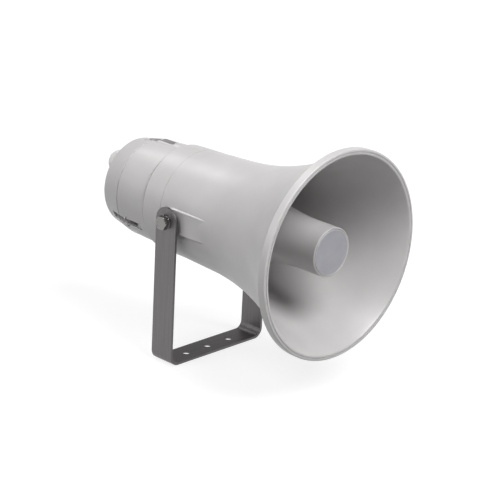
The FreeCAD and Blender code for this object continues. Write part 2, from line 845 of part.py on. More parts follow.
def make_housing():
    """The rear housing: a tapered barrel with a web across it, and three lugs whose open channels hold its screws."""
    body = horn_body("rear_housing")
    outside = profile(body)
    outline(
        outside,
        [
            ("-housing_rear", "0"),
            ("-bell_rear", "0"),
            ("-bell_rear", "housing_front_radius - seam_chamfer"),
            ("-bell_rear - seam_chamfer", "housing_front_radius"),
            ("-housing_rear + seam_chamfer", "housing_rear_radius"),
            ("-housing_rear", "housing_rear_radius - seam_chamfer"),
        ],
    )
    turn(body, outside)
    front_room = profile(body)
    rectangle(front_room, "-web_front", "0", "-bell_rear + 1", "housing_bore")
    turn(body, front_room, cut=True)
    rear_room = profile(body)
    rectangle(rear_room, "-housing_rear - 1", "0", "-web_front - web_thick", "rear_recess")
    turn(body, rear_room, cut=True)
    wire_way = station(body, "-web_front - web_thick - 1")
    circle(wire_way, "web_hole", "0", "web_hole_rise")
    extrude(body, wire_way, "web_thick + 2", cut=True)
    spigot = profile(body)
    spigot_radius = "(rear_opening - spigot_play)"
    outline(
        spigot,
        [
            ("-bell_rear - spigot_root", f"{spigot_radius} - spigot_wall"),
            ("-bell_rear + spigot_length", f"{spigot_radius} - spigot_wall"),
            ("-bell_rear + spigot_length", spigot_radius),
            ("-bell_rear", spigot_radius),
            ("-bell_rear", "housing_bore + 1"),
            ("-bell_rear - spigot_root", "housing_bore + 1"),
        ],
    )
    turn(body, spigot)
    lug_sketch = station(body, "-lug_rear")
    circle(lug_sketch, "lug_radius", "0", "lug_centre")
    lug = extrude(body, lug_sketch, "lug_rear - bell_rear")
    ramp = body.newObject("PartDesign::AdditiveCone", f"{body.Name}_ramp")
    ramp.AttachmentSupport = (origin_feature(body, "XZ_Plane"), [""])
    ramp.MapMode = "FlatFace"
    ramp.setExpression("AttachmentOffset.Base.y", bound("lug_centre"))
    ramp.setExpression("AttachmentOffset.Base.z", bound("lug_rear"))
    ramp.setExpression("Radius1", bound("lug_radius"))
    ramp.setExpression("Radius2", bound("lug_tip"))
    ramp.setExpression("Height", bound("lug_ramp"))
    deep = station(body, "-channel_deep_rear")
    rectangle(deep, "-channel_width/2", "channel_floor", "channel_width/2", "rim_radius")
    deep_channel = extrude(body, deep, "channel_deep_rear - channel_front", cut=True)
    shelf = station(body, "-housing_rear - 1")
    rectangle(shelf, "-channel_width/2", "channel_shelf", "channel_width/2", "rim_radius")
    shelf_channel = extrude(body, shelf, "housing_rear + 1 - channel_deep_rear", cut=True)
    hole_sketch = station(body, "-channel_front")
    circle(hole_sketch, "housing_screw_dia/2 + screw_play", "0", "housing_screw_circle")
    hole = extrude(body, hole_sketch, "channel_front - bell_rear + 1", cut=True)
    around(body, [lug, ramp, deep_channel, shelf_channel, hole], "station_count")
    seal = profile(body)
    rectangle(seal, "-housing_rear - 1", "cap_seal_inner - seal_play", "-housing_rear + cap_seal_thick",
              "cap_seal_outer + seal_play")
    turn(body, seal, cut=True)
    boss_sketch = station(body, "-housing_rear")
    circle(boss_sketch, "cap_screw_boss", *round_about("cap_screw_circle", "30"))
    boss = extrude(body, boss_sketch, "housing_rear - web_front - web_thick/2")
    tap_sketch = station(body, "-housing_rear")
    circle(tap_sketch, "screw_dia/2", *round_about("cap_screw_circle", "30"))
    tap = extrude(body, tap_sketch, "housing_rear - web_front - web_thick/2", cut=True)
    around(body, [boss, tap], "station_count")


def make_ring(label, rear, thick, inner, outer):
    body = horn_body(label)
    ring = station(body, rear)
    circle(ring, outer)
    circle(ring, inner)
    extrude(body, ring, thick)


def make_cap():
    """The rear cap over the connection chamber, notched in line with the housing's channels."""
    body = horn_body("rear_cap")
    outside = profile(body)
    outline(
        outside,
        [
            ("-cap_rear", "0"),
            ("-housing_rear", "0"),
            ("-housing_rear", "cap_front_radius - seam_chamfer"),
            ("-housing_rear - seam_chamfer", "cap_front_radius"),
            ("-cap_rear + cap_round", "cap_rear_radius", "+cap_round"),
            ("-cap_rear", "cap_rear_radius - cap_round"),
        ],
    )
    turn(body, outside)
    room = station(body, "-cap_rear + cap_wall")
    circle(room, "rear_recess")
    extrude(body, room, "cap_rear - cap_wall - housing_rear + 1", cut=True)
    notch_sketch = station(body, "-notch_rear")
    rectangle(notch_sketch, "-channel_width/2", "notch_floor", "channel_width/2", "rim_radius")
    notch = extrude(body, notch_sketch, "notch_rear - housing_rear + 1", cut=True)
    around(body, [notch], "station_count")
    place = round_about("cap_screw_circle", "30")
    boss_sketch = station(body, "-cap_rear + cap_wall/2")
    circle(boss_sketch, "cap_screw_boss", *place)
    boss = extrude(body, boss_sketch, "cap_rear - cap_wall/2 - housing_rear")
    hole_sketch = station(body, "-cap_rear - 1")
    circle(hole_sketch, "screw_dia/2 + screw_play", *place)
    hole = extrude(body, hole_sketch, "cap_rear - housing_rear + 2", cut=True)
    sink_sketch = station(body, "-cap_rear - 1")
    circle(sink_sketch, "screw_head_dia/2 + 2*screw_play", *place)
    sink = extrude(body, sink_sketch, "screw_head + 2", cut=True)
    around(body, [boss, hole, sink], "station_count")
    gland_hole = station(body, "-cap_rear - 1")
    circle(gland_hole, "gland_thread/2 + screw_play", "gland_side", "gland_rise")
    extrude(body, gland_hole, "cap_wall + 2", cut=True)


def make_gland():
    """The cable gland, from inside to outside: locknut, body, rubber seal and domed cap nut."""
    centre = ("gland_side", "gland_rise")
    flange_rear = "(-cap_rear - gland_flange)"
    body = horn_body("gland_body")
    flange = station(body, flange_rear)
    hexagon(flange, "gland_flats", *centre)
    extrude(body, flange, "gland_flange")
    stub = station(body, "-cap_rear")
    circle(stub, "gland_thread/2", *centre)
    extrude(body, stub, "gland_stub")
    neck = station(body, f"{flange_rear} - gland_neck_length")
    circle(neck, "gland_neck/2", *centre)
    extrude(body, neck, "gland_neck_length")
    bore = station(body, f"{flange_rear} - gland_neck_length - 1")
    circle(bore, "gland_bore/2", *centre)
    extrude(body, bore, "gland_neck_length + gland_flange + gland_stub + 2", cut=True)

    body = horn_body("gland_locknut")
    nut = station(body, "-cap_rear + cap_wall")
    hexagon(nut, "gland_flats", *centre)
    extrude(body, nut, "locknut_thick")
    thread = station(body, "-cap_rear + cap_wall")
    circle(thread, "gland_thread/2 + seal_play", *centre)
    extrude(body, thread, "locknut_thick", cut=True)

    nut_front = f"({flange_rear} - gland_nut_gap)"
    hex_rear = f"({nut_front} - gland_nut_hex)"
    dome_rear = f"({hex_rear} - gland_nut_dome)"
    body = horn_body("gland_nut")
    body.setExpression("Placement.Base.x", bound("-gland_side"))
    body.setExpression("Placement.Base.z", bound("pivot_height + gland_rise"))
    corner = "(gland_flats/2/cos(30))"
    shell = profile(body)
    outline(
        shell,
        [
            (dome_rear, "0"),
            (nut_front, "0"),
            (nut_front, f"{corner} - gland_nut_edge"),
            (f"{nut_front} - gland_nut_edge", corner),
            (hex_rear, corner, "+gland_nut_bend"),
            (dome_rear, "gland_nut_tip"),
        ],
    )
    turn(body, shell)
    flats = station(body, dome_rear)
    circle(flats, "2*gland_flats")
    hexagon(flats, "gland_flats")
    extrude(body, flats, "gland_nut_hex + gland_nut_dome", cut=True)
    thread = station(body, f"{flange_rear} - gland_neck_length - seal_play")
    circle(thread, "gland_neck/2 + seal_play")
    extrude(body, thread, "gland_neck_length + 1", cut=True)
    pocket = station(body, f"{flange_rear} - gland_neck_length - seal_play - gland_seal_length")
    circle(pocket, "gland_bore/2 + seal_play")
    extrude(body, pocket, "gland_seal_length + 1", cut=True)
    mouth = station(body, f"{dome_rear} - 1")
    circle(mouth, "gland_nut_bore/2")
    extrude(body, mouth, "gland_nut_dome + gland_nut_hex", cut=True)

    body = horn_body("gland_seal")
    seal = station(body, f"{flange_rear} - gland_neck_length - gland_seal_length")
    circle(seal, "gland_bore/2", *centre)
    circle(seal, "gland_seal_bore/2", *centre)
    extrude(body, seal, "gland_seal_length")


def make_transformer():
    """The line transformer on the front of the web: laminated core, wound bobbin, two clips and their screws."""
    core_front = "(-core_rear + core_stack)"
    body = horn_body("transformer_core")
    face = station(body, "-core_rear")
    rectangle(face, "-core_width/2", "-core_height/2", "core_width/2", "core_height/2")
    extrude(body, face, "core_stack")
    window_sketch = station(body, "-core_rear - 1")
    rectangle(window_sketch, "core_leg", "-core_height/2 + core_leg", "2*core_leg", "core_height/2 - core_leg")
    window = extrude(body, window_sketch, "core_stack + 2", cut=True)
    mirrored(body, [window], "YZ_Plane")

    body = horn_body("transformer_coil")
    wound = station(body, "-core_rear - coil_overhang")
    rectangle(wound, "-2*core_leg + coil_play", "-core_height/2 + core_leg + coil_play", "2*core_leg - coil_play",
              "core_height/2 - core_leg - coil_play")
    extrude(body, wound, "core_stack + 2*coil_overhang")
    leg = station(body, "-core_rear - coil_play")
    rectangle(leg, "-core_leg - coil_play", "-core_height", "core_leg + coil_play", "core_height")
    extrude(body, leg, "core_stack + 2*coil_play", cut=True)

    body = horn_body("transformer_clips", several=True)
    clip_sketch = new_sketch(body, "XY_Plane")
    side = "(core_width/2 + clip_play)"
    outline(
        clip_sketch,
        [
            (side, "-web_front"),
            (f"{side} + clip_foot", "-web_front"),
            (f"{side} + clip_foot", "-web_front + clip_thick"),
            (f"{side} + clip_thick", "-web_front + clip_thick"),
            (f"{side} + clip_thick", f"{core_front} + clip_thick"),
            (f"{side} - core_leg/2", f"{core_front} + clip_thick"),
            (f"{side} - core_leg/2", core_front),
            (side, core_front),
        ],
    )
    clip = extrude(body, clip_sketch, "clip_height", both=True)
    hole_sketch = station(body, "-web_front - 1")
    clip_hole = f"{side} + (clip_foot + clip_thick)/2"
    circle(hole_sketch, "small_screw_dia/2 + seal_play", clip_hole, "0")
    hole = extrude(body, hole_sketch, "clip_thick + 2", cut=True)
    mirrored(body, [clip, hole], "YZ_Plane")

    body = horn_body("clip_screws", several=True)
    seat = "(-web_front + clip_thick)"
    heads = station(body, seat)
    circle(heads, "small_screw_head_dia/2", clip_hole, "0")
    head = extrude(body, heads, "small_screw_head")
    shanks = station(body, seat)
    circle(shanks, "small_screw_dia/2", clip_hole, "0")
    shank = extrude(body, shanks, "clip_thick + web_thick", forward=False)
    mirrored(body, [head, shank], "YZ_Plane")
    drill_web(clip_hole)


def drill_web(place):
    """The clip screws thread into the housing's web."""
    body = doc.getObject("rear_housing")
    body.Tip = body.Group[-1]
    sketch = station(body, "-web_front - web_thick - 1")
    circle(sketch, "small_screw_dia/2", place, "0")
    hole = extrude(body, sketch, "web_thick + 2", cut=True)
    mirrored(body, [hole], "YZ_Plane")


def make_terminals():
    """The ceramic terminal block on the rear of the web, with its wire bores and clamping screws."""
    rear = "(-web_front - web_thick)"
    low = "(-block_drop - block_base/2)"
    body = horn_body("terminal_block")
    body_sketch = new_sketch(body, "YZ_Plane", "block_side - block_length/2")
    outline(
        body_sketch,
        [
            (rear, low),
            (rear, f"{low} + block_base"),
            (f"{rear} - block_step", f"{low} + block_base"),
            (f"{rear} - block_step", f"{low} + (block_base + block_top)/2"),
            (f"{rear} - block_height", f"{low} + (block_base + block_top)/2"),
            (f"{rear} - block_height", f"{low} + (block_base - block_top)/2"),
            (f"{rear} - block_step", f"{low} + (block_base - block_top)/2"),
            (f"{rear} - block_step", low),
        ],
    )
    extrude(body, body_sketch, "block_length")
    ways = new_sketch(body, "XY_Plane", f"{low} - 1")
    for pole in (-1, 0, 1):
        circle(ways, "block_bore/2", f"block_side + {pole}*block_pitch", f"{rear} - block_step/2 - block_seat")
    extrude(body, ways, "block_base + 2", cut=True, forward=False)
    tops = station(body, f"{rear} - block_height - 1")
    for pole in (-1, 0, 1):
        circle(tops, "block_screw/2 + seal_play", f"block_side + {pole}*block_pitch", "-block_drop")
    extrude(body, tops, "block_height - block_step + 1", cut=True)

    body = horn_body("terminal_screws", several=True)
    screws = station(body, f"{rear} - block_height + block_seat")
    for pole in (-1, 0, 1):
        circle(screws, "block_screw/2", f"block_side + {pole}*block_pitch", "-block_drop")
    extrude(body, screws, "block_height - block_step - block_seat")


def make_side(side, turned):
    """Bolt, spring washer, friction washer and threaded insert of one side, along local +X."""
    washer_face = "(bracket_span/2 + side_gap)"
    head_face = f"({washer_face} + spring_washer_thick)"

    def side_body(name):
        return new_body(f"{name}_{side}", height="pivot_height", turn=turned)

    body = side_body("pivot_bolt")
    head = new_sketch(body, "YZ_Plane", head_face)
    hexagon(head, "bolt_flats")
    extrude(body, head, "bolt_head")
    shank = new_sketch(body, "YZ_Plane", head_face)
    circle(shank, "bolt_dia/2")
    extrude(body, shank, "bolt_length", forward=False)
    chamfer = new_sketch(body, "XZ_Plane")
    corner = "(bolt_flats/2/cos(30))"
    outline(
        chamfer,
        [
            (f"{head_face} + bolt_head", "bolt_flats/2 - bolt_edge"),
            (f"{head_face} + bolt_head + 1", "bolt_flats/2 - bolt_edge"),
            (f"{head_face} + bolt_head + 1", f"{corner} + 1"),
            (f"{head_face} + bolt_head - ({corner} + 1 - bolt_flats/2 + bolt_edge)*tan(30)", f"{corner} + 1"),
        ],
    )
    turn(body, chamfer, cut=True)

    body = side_body("spring_washer")
    ring = new_sketch(body, "YZ_Plane", washer_face)
    circle(ring, "spring_washer_dia/2")
    circle(ring, "bolt_dia/2 + pivot_play")
    extrude(body, ring, "spring_washer_thick")
    slit = new_sketch(body, "YZ_Plane", washer_face)
    rectangle(slit, "-spring_washer_slit/2", "0", "spring_washer_slit/2", "spring_washer_dia")
    extrude(body, slit, "3*spring_washer_thick", cut=True, both=True)

    body = side_body("friction_washer")
    ring = new_sketch(body, "YZ_Plane", "pad_face")
    circle(ring, "friction_washer_dia/2")
    circle(ring, "bolt_dia/2 + pivot_play")
    extrude(body, ring, "friction_washer_thick")

    body = side_body("threaded_insert")
    sleeve = new_sketch(body, "YZ_Plane", "pad_face - insert_length")
    circle(sleeve, "insert_dia/2")
    circle(sleeve, "bolt_dia/2")
    extrude(body, sleeve, "insert_length")


def check_document():
    """Stops with the names of whatever failed to build."""
    doc.recompute()
    failed = [item.Label for item in doc.Objects if "Invalid" in item.State or "Error" in item.State]
    for body in pieces:
        if body.Shape.isNull() or not body.Shape.isValid() or not body.Shape.Solids:
            failed.append(body.Label)
    if failed:
        raise RuntimeError(f"these did not build: {failed}")


def write_steps():
    os.makedirs("parts", exist_ok=True)
    for body in pieces:
        body.Shape.exportStep(os.path.join("parts", f"{body.Label}.step"))
        print(f"{body.Label}: {len(body.Shape.Solids)} solid(s), {body.Shape.Volume / 1000:.2f} cm3")


fill_sheet()
make_bracket()
make_bell()
make_reflector()
make_centre_disc()
make_throat_horn()
make_driver()
make_housing()
make_ring("housing_seal", "-bell_rear", "seal_thick", "seal_inner", "seal_outer")
make_screws("housing_screws", "housing_screw_circle", "90", "station_count", "-channel_front", "housing_screw_length",
            "housing_screw_dia", "housing_screw_head_dia", "housing_screw_head")
make_screws("reflector_screws", "post_circle", "30", "post_count",
            "(bulkhead_rear + bulkhead_thick + throat_plate/2)", "screw_boss_length")
make_cap()
make_ring("cap_seal", "-housing_rear", "cap_seal_thick", "cap_seal_inner", "cap_seal_outer")
make_screws("cap_screws", "cap_screw_circle", "30", "station_count", "(-cap_rear + screw_head + cap_screw_seat)", "cap_screw_length")
make_gland()
make_transformer()
make_terminals()
make_side("left", 180)
make_side("right", 0)
check_document()
write_steps()
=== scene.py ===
# Horn loudspeaker: light grey moulded horn on a brushed steel U bracket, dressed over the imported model.
import math

import bmesh
import bpy
from mathutils import Matrix, Vector
from mathutils.bvhtree import BVHTree


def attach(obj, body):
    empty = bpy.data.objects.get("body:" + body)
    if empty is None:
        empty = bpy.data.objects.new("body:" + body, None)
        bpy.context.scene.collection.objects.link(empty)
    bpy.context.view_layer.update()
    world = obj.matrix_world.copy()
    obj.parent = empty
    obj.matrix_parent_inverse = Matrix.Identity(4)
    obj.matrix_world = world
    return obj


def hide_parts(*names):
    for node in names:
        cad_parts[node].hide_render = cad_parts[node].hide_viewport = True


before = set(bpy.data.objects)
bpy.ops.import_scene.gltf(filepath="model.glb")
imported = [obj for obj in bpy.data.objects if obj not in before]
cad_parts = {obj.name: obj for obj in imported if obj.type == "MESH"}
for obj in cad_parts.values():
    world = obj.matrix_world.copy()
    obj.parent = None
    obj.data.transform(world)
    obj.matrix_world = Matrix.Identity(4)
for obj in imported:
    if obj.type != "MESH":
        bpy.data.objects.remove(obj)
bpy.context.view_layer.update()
mm = 0.001
pivot = Vector((0, 0, 0.150))  # the tilt axis crosses the horn's own axis here
print("frame loaded:", len(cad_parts), "nodes")

# A long lens, high and to the horn's left, rolled a little. Angles in degrees, lengths in mm, clip in metres.
view = {
    "azimuth": -46.27,
    "elevation": 19.92,
    "roll": 2.93,
    "distance": 1985.85,
    "sideways": 36.51,
    "upwards": -41.15,
    "lens": 143.18,
    "sensor": 36,
    "clip": 50,
}


def placeCamera(s):
    azimuth, elevation, roll = (math.radians(s[name]) for name in ("azimuth", "elevation", "roll"))
    level = math.cos(elevation)
    back = Vector((math.sin(azimuth) * level, -math.cos(azimuth) * level, math.sin(elevation)))
    right = Vector((math.cos(azimuth), math.sin(azimuth), 0))
    up = back.cross(right)
    right, up = math.cos(roll) * right + math.sin(roll) * up, math.cos(roll) * up - math.sin(roll) * right
    place = pivot + mm * (s["sideways"] * right + s["upwards"] * up + s["distance"] * back)
    data = bpy.data.cameras.new("camera")
    data.lens = s["lens"]
    data.sensor_width = s["sensor"]
    data.clip_end = s["clip"]
    camera = bpy.data.objects.new("camera", data)
    camera.matrix_world = Matrix.Translation(place) @ Matrix((right, up, back)).transposed().to_4x4()
    bpy.context.scene.collection.objects.link(camera)
    bpy.context.scene.camera = camera


placeCamera(view)
print("camera placed")


def toLinear(hexColour):  # by the sRGB curve
    values = [int(hexColour[start:start + 2], 16) / 255 for start in (1, 3, 5)]
    return [v / 12.92 if v <= 0.04045 else ((v + 0.055) / 1.055) ** 2.4 for v in values] + [1.0]


def addNode(tree, kind, inputs, **settings):
    node = tree.nodes.new("ShaderNode" + kind)
    for name, setting in settings.items():
        setattr(node, name, setting)
    for name, source in inputs.items():
        if isinstance(source, bpy.types.NodeSocket):
            tree.links.new(source, node.inputs[name])
        else:
            node.inputs[name].default_value = source
    return node


# Each finish mixes two hex colours by a cloud pattern. cloud, grain and depth are in mm, and the roughness
# follows the clouds. A stretch under 1 draws a pattern out along that axis, as brushing does. Grain and
# lines that are too fine to show in a render are drawn coarser than the real ones, at 0.3 mm or more.
finishes = {
    # light grey ABS from a spark-eroded mould: even satin, faint clouds, a fine grain that softens highlights
    "greyAbs": {"dark": "#B9B7B7", "light": "#C1BFBF", "cloud": 45, "grain": 0.7, "depth": 0.010,
                "roughness": (0.30, 0.38), "ior": 1.54},
    # folded stainless strip, brushed along its length: fine lines and a streaked, soft reflection
    "brushedStainless": {"dark": "#6C696A", "light": "#737071", "cloud": 0.9, "grain": 0.3, "depth": 0.006,
                         "roughness": (0.42, 0.52), "metallic": 1, "stretch": (0.02, 1, 0.02)},
    # cold-formed stainless fasteners: brighter than the strip and slightly uneven
    "boltSteel": {"dark": "#7F7C7C", "light": "#878484", "cloud": 1.5, "grain": 0.4, "depth": 0.004,
                  "roughness": (0.16, 0.26), "metallic": 1},
    # zinc-plated steel: a cool, cloudy grey
    "zincSteel": {"dark": "#8D9296", "light": "#A9ACAE", "cloud": 2, "grain": 0.4, "depth": 0.01,
                  "roughness": (0.3, 0.45), "metallic": 1},
    # silver lacquer on the nose's disc: even satin, a touch cooler than the horn
    "silverLacquer": {"dark": "#9999A0", "light": "#A0A0A6", "cloud": 14, "grain": 0.35, "depth": 0.003,
                      "roughness": (0.32, 0.38), "ior": 1.5},
    # moulded black rubber: dull, with a bloom
    "blackRubber": {"dark": "#1B1B1B", "light": "#2A2A2A", "cloud": 4, "grain": 0.5, "depth": 0.02,
                    "roughness": (0.6, 0.8), "ior": 1.5},
    # moulded grey polyamide: paler than the horn, with finer clouds
    "greyPolyamide": {"dark": "#CECDCC", "light": "#D8D7D6", "cloud": 12, "grain": 0.5, "depth": 0.006,
                      "roughness": (0.32, 0.42), "ior": 1.53},
    # aluminium as die-cast: grainy and dull
    "castAlloy": {"dark": "#8B8D8F", "light": "#A3A5A6", "cloud": 6, "grain": 0.8, "depth": 0.05,
                  "roughness": (0.45, 0.6), "metallic": 1},
    # moulded phenolic resin: near black, with a soft gloss
    "blackPhenolic": {"dark": "#191818", "light": "#262423", "cloud": 5, "grain": 0.6, "depth": 0.01,
                      "roughness": (0.35, 0.5), "ior": 1.6},
    # pressed film of the diaphragm: amber, glossy and slightly cloudy
    "amberFilm": {"dark": "#A8702C", "light": "#C08A3F", "cloud": 5, "grain": 0.4, "depth": 0.005,
                  "roughness": (0.25, 0.4), "ior": 1.6},
    # enamelled copper wire, wound round the horn's axis: thin warm rings
    "copperWire": {"dark": "#8A4A26", "light": "#B86E3C", "cloud": 0.5, "grain": 0.5, "depth": 0.08,
                   "roughness": (0.25, 0.4), "metallic": 1, "stretch": (0.05, 1, 0.05)},
    # sintered ferrite: near black and matt, with fine pores
    "sinteredFerrite": {"dark": "#242528", "light": "#34363A", "cloud": 4, "grain": 0.4, "depth": 0.03,
                        "roughness": (0.55, 0.7), "ior": 2.0},
    # blackened steel: dark, with a soft metal sheen
    "darkSteel": {"dark": "#3C3D40", "light": "#515356", "cloud": 5, "grain": 0.5, "depth": 0.01,
                  "roughness": (0.4, 0.55), "metallic": 1},
    # stacked silicon-steel sheets: fine dark and light lines across the stack, which lies along the horn
    "siliconSteelStack": {"dark": "#3E4044", "light": "#74777B", "cloud": 0.8, "grain": 0.5, "depth": 0.1,
                          "roughness": (0.4, 0.6), "metallic": 1, "stretch": (0.03, 1, 0.03)},
    # glazed steatite: off-white and glossy
    "whiteSteatite": {"dark": "#D6D2C8", "light": "#E2DFD6", "cloud": 6, "grain": 0.5, "depth": 0.01,
                      "roughness": (0.2, 0.35), "ior": 1.6},
    # turned brass: warm yellow metal, slightly uneven
    "turnedBrass": {"dark": "#A98642", "light": "#C7A55B", "cloud": 2, "grain": 0.3, "depth": 0.01,
                    "roughness": (0.25, 0.38), "metallic": 1},
}
pattern = {
    "cloudDetail": 4.0,
    "cloudRoughness": 0.55,
    "cloudRange": {"From Min": 0.3, "From Max": 0.7},  # noise hardly leaves this range
    "grainDetail": 3.0,
}


def makeFinish(name, finish):
    material = bpy.data.materials.new(name)
    material.use_nodes = True
    tree = material.node_tree
    shader = tree.nodes["Principled BSDF"]
    shader.inputs["Metallic"].default_value = finish.get("metallic", 0)
    if "ior" in finish:
        shader.inputs["IOR"].default_value = finish["ior"]
    place = addNode(tree, "TexCoord", {}).outputs["Object"]
    scale = finish.get("stretch", (1, 1, 1))
    stretched = addNode(tree, "Mapping", {"Vector": place, "Scale": scale}).outputs["Vector"]
    cloud = addNode(tree, "TexNoise", {"Vector": stretched, "Scale": 1 / (finish["cloud"] * mm),
                                       "Detail": pattern["cloudDetail"],
                                       "Roughness": pattern["cloudRoughness"]}).outputs["Fac"]
    spread = addNode(tree, "MapRange", {"Value": cloud, **pattern["cloudRange"]}).outputs["Result"]
    colours = {0: spread, 6: toLinear(finish["dark"]), 7: toLinear(finish["light"])}
    mixed = addNode(tree, "Mix", colours, data_type="RGBA")
    tree.links.new(mixed.outputs[2], shader.inputs["Base Color"])
    low, high = finish["roughness"]
    dull = addNode(tree, "MapRange", {"Value": cloud, **pattern["cloudRange"], "To Min": high, "To Max": low})
    tree.links.new(dull.outputs["Result"], shader.inputs["Roughness"])
    grain = addNode(tree, "TexNoise", {"Vector": stretched, "Scale": 1 / (finish["grain"] * mm),
                                       "Detail": pattern["grainDetail"]}).outputs["Fac"]
    bump = addNode(tree, "Bump", {"Height": grain, "Distance": finish["depth"] * mm, "Strength": 1.0})
    tree.links.new(bump.outputs["Normal"], shader.inputs["Normal"])
    return material


materials = {name: makeFinish(name, finish) for name, finish in finishes.items()}
print("materials made:", len(materials))

nodeFinish = {
    "u_bracket": "brushedStainless", "horn_bell": "greyAbs", "reflector_tube": "greyAbs",
    "rear_housing": "greyAbs", "rear_cap": "greyAbs", "throat_horn": "greyAbs",
    "centre_disc": "silverLacquer", "gland_body": "greyPolyamide", "gland_nut": "greyPolyamide",
    "gland_locknut": "greyPolyamide", "gland_seal": "blackRubber", "housing_seal": "blackRubber",
    "cap_seal": "blackRubber", "throat_gasket": "blackRubber", "driver_adapter": "castAlloy",
    "phase_plug": "blackPhenolic", "diaphragm": "amberFilm", "voice_coil": "copperWire",
    "top_plate": "zincSteel", "ring_magnet": "sinteredFerrite", "back_plate": "darkSteel",
    "driver_screws": "zincSteel", "housing_screws": "boltSteel", "reflector_screws": "zincSteel",
    "cap_screws": "boltSteel", "transformer_core": "siliconSteelStack", "transformer_coil": "copperWire",
    "transformer_clips": "zincSteel", "clip_screws": "zincSteel", "terminal_block": "whiteSteatite",
    "terminal_screws": "turnedBrass",
}
for side in ("left", "right"):
    nodeFinish.update({f"pivot_bolt_{side}": "boltSteel", f"spring_washer_{side}": "boltSteel",
                       f"friction_washer_{side}": "blackRubber", f"threaded_insert_{side}": "turnedBrass"})
for name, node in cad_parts.items():
    node.data.materials.clear()
    node.data.materials.append(materials[nodeFinish[name]])
print("nodes dressed:", len(nodeFinish))


smoothAngle = 35  # in degrees: edges that turn further stay sharp


# Turns a bmesh into a finished piece that rides on a body and stands for the nodes it replaces.
def finishPiece(name, mesh, body, finish, replaced):
    bmesh.ops.recalc_face_normals(mesh, faces=mesh.faces)
    if mesh.calc_volume(signed=True) < 0:  # the whole skin can come out facing inwards
        bmesh.ops.reverse_faces(mesh, faces=mesh.faces)
    data = bpy.data.meshes.new(name)
    mesh.to_mesh(data)
    mesh.free()
    data.materials.append(materials[finish])
    data.shade_smooth()
    data.set_sharp_from_angle(angle=math.radians(smoothAngle))
    piece = bpy.data.objects.new(name, data)
    bpy.context.scene.collection.objects.link(piece)
    weighted = piece.modifiers.new("weighted", "WEIGHTED_NORMAL")
    weighted.keep_sharp = True
    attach(piece, body)
    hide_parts(*replaced)


# The points between two points of an outline, on an arc that hollows the side away from the axis.
def bend(start, end, radius, count):
    first, last = Vector(start), Vector(end)
    chord = last - first
    normal = Vector((-chord.y, chord.x)).normalized()
    normal = normal if normal.y > 0 else -normal
    centre = (first + last) / 2 + normal * math.sqrt(radius ** 2 - chord.length_squared / 4)
    angles = [math.atan2(point.y - centre.y, point.x - centre.x) for point in (first, last)]
    steps = [angles[0] + (angles[1] - angles[0]) * number / count for number in range(1, count)]
    return [(centre.x + radius * math.cos(a), centre.y + radius * math.sin(a)) for a in steps]


turning = {
    "steps": 200,
    "roundingSegments": 3,
    "weld": 1e-7,
    "match": 1e-6,
}


def onRing(vert, forward, radius):
    out = math.hypot(vert.co.x - pivot.x, vert.co.z - pivot.z)
    along = vert.co.y - pivot.y + forward * mm
    return abs(along) < turning["match"] and abs(out - radius * mm) < turning["match"]


# Spins an outline of (forward, radius) in mm about the horn's axis. A third number rounds that corner.
def turned(outline, closed=True):
    mesh = bmesh.new()
    places = [(pivot.x, pivot.y - point[0] * mm, pivot.z + point[1] * mm) for point in outline]
    corners = [mesh.verts.new(place) for place in places]
    pairs = list(zip(corners, corners[1:] + corners[:1]))
    edges = [mesh.edges.new(pair) for pair in (pairs if closed else pairs[:-1])]
    bmesh.ops.spin(mesh, geom=corners + edges, cent=pivot, axis=(0, 1, 0), angle=2 * math.pi,
                   steps=turning["steps"], use_merge=True)
    bmesh.ops.remove_doubles(mesh, verts=mesh.verts, dist=turning["weld"])
    for forward, radius, rounding in [point for point in outline if len(point) == 3]:
        ring = [edge for edge in mesh.edges if all(onRing(vert, forward, radius) for vert in edge.verts)]
        bmesh.ops.bevel(mesh, geom=ring, offset=rounding * mm, segments=turning["roundingSegments"],
                        profile=0.5, affect="EDGES", material=-1)
    return mesh


# Places along the horn are in mm forward of the pivot, and radii in mm from the horn's axis.
bell = {
    "rear": -45.1,
    "barrel": 55.2,
    "rearEdge": 0.5,  # the edge behind the joint stands this far inside the barrel
    "gapEdge": 0.4,
    "gapRear": 0.35,  # the shadow gap in front of the rear housing
    "gapFront": 0.95,
    "gapDepth": 2.0,
    "gapRounding": 0.15,
    "mouldLine": -19.2,  # the mould's parting line is a fine groove
    "mouldLineTop": 0.17,
    "mouldLineFoot": 0.12,
    "mouldLineEdges": (55.67, 55.68),
    "mouldLineFloor": 55.0,
    "swell": (-6, 55.9),
    "neck": (35, 57.9),
    "wall": 3.3,
    "flareBend": 274,
    "innerBend": 290,
    "bendSteps": 40,
    "rimRear": 164.1,
    "rimFront": 172.8,
    "rim": 104.0,
    "lip": 98.6,
    "rimRootRounding": 0.8,
    "rimRearRounding": 1.1,
    "rimFrontRounding": 1.3,
    "lipRounding": 1.0,
    "groove": 101.1,
    "grooveDepth": 0.7,
    "grooveTop": 0.3,
    "grooveFoot": 0.25,
    "grooveRounding": 0.25,
    "bulkheadFront": 29,  # the bulkhead's front face, opening and rear face
    "bulkheadRoot": 54.5,
    "bulkheadOpening": 36,
    "bulkheadRear": 24,
    "chamber": 51.9,
    "chamberRear": -37.4,
    "rearOpening": 44.5,
}
pad = {
    "face": 58.2,
    "half": 12.25,
    "front": 58,
    "rootRear": 4.2,
    "rootFront": 0.8,
    "slope": 0.55,
    "slopeStart": 1.5,  # in halves of the pad's width, forward of the pivot
    "rounding": 1.1,
    "roundingSegments": 4,
    "steps": 96,
    "match": 1e-6,
}


